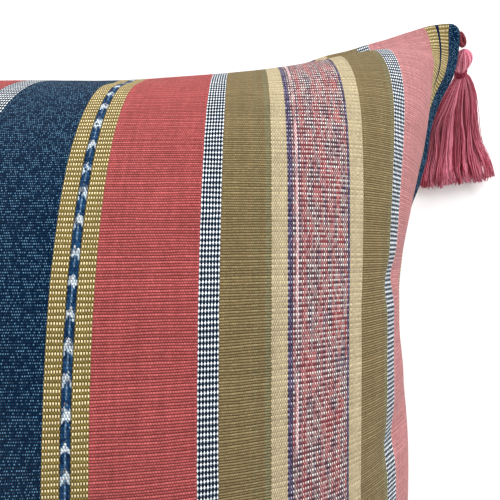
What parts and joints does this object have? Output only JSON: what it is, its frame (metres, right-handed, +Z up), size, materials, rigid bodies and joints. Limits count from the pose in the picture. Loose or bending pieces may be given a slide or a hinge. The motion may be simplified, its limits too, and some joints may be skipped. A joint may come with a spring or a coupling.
{
  "type": "tassel cushion",
  "caption": "Plump square knife-edge cushion of handwoven striped cloth, with a yarn tassel hung on a short cord loop at each corner.",
  "frame": {"origin": "middle of the flat underside the cushion rests on, lying on its back", "axes": "+Z up through the crown of the front face, +Y along the stripes towards the top edge, +X across them to the right"},
  "size_m": [0.5507, 0.5676, 0.1704],
  "materials": {
    "striped_cloth": "matte handwoven ribs",
    "tassel_yarn": "soft satin yarn",
    "loop_cord": "matte twisted cord",
    "binding_thread": "matte wound thread"
  },
  "bodies": {
    "root": {"cushion": "striped_cloth", "loop_top_right": "loop_cord", "tassel_top_right": "tassel_yarn", "binding_top_right": "binding_thread", "loop_bottom_right": "loop_cord", "tassel_bottom_right": "tassel_yarn", "binding_bottom_right": "binding_thread", "loop_bottom_left": "loop_cord", "tassel_bottom_left": "tassel_yarn", "binding_bottom_left": "binding_thread", "loop_top_left": "loop_cord", "tassel_top_left": "tassel_yarn", "binding_top_left": "binding_thread"}
  },
  "joints": []
}
